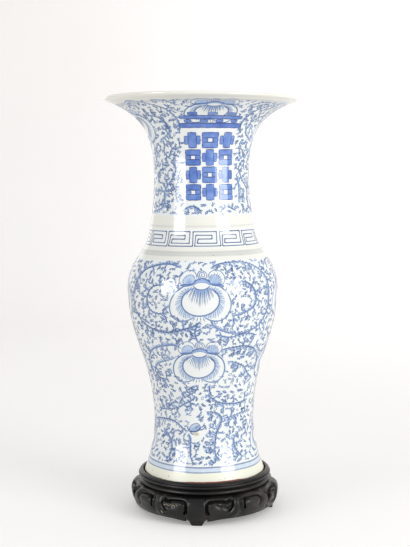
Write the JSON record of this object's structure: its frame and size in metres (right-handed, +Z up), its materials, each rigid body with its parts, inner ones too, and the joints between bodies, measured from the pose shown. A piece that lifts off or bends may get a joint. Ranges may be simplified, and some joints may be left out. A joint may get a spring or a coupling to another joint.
{
  "type": "baluster vase on stand",
  "caption": "Tall blue-and-white porcelain baluster vase with a flared mouth, resting in the recess of a low, carved, round hardwood stand with pad feet.",
  "frame": {"origin": "on the table under the middle of the stand, on the vase's axis", "axes": "+Z up along the vase's axis, -Y towards the front face of the vase, +X to the viewer's right"},
  "size_m": [0.2286, 0.2286, 0.49],
  "materials": {
    "glaze": "glossy clear glaze over cobalt painting on white porcelain",
    "blackwood": "black-stained hardwood with a satin polish",
    "raw_wood": "reddish-brown hardwood, oiled but not stained"
  },
  "bodies": {
    "stand": {"top_ring": "blackwood", "waist_ring": "blackwood", "seat_board": "raw_wood", "leg_1": "blackwood", "leg_2": "blackwood", "leg_3": "blackwood", "leg_4": "blackwood", "apron_1": "blackwood", "apron_2": "blackwood", "apron_3": "blackwood", "apron_4": "blackwood", "foot_pad_1": "blackwood", "foot_pad_2": "blackwood", "foot_pad_3": "blackwood", "foot_pad_4": "blackwood", "leg_peg_1": "raw_wood", "leg_peg_2": "raw_wood", "leg_peg_3": "raw_wood", "leg_peg_4": "raw_wood", "apron_peg_1": "raw_wood", "apron_peg_2": "raw_wood", "apron_peg_3": "raw_wood", "apron_peg_4": "raw_wood"},
    "vase": {"porcelain_vase": "glaze"}
  },
  "joints": [
    {"name": "vase_lift", "type": "slide", "parent": "stand", "child": "vase", "axis": [0, 0, 1], "range_m": [0, 0.1]}
  ]
}
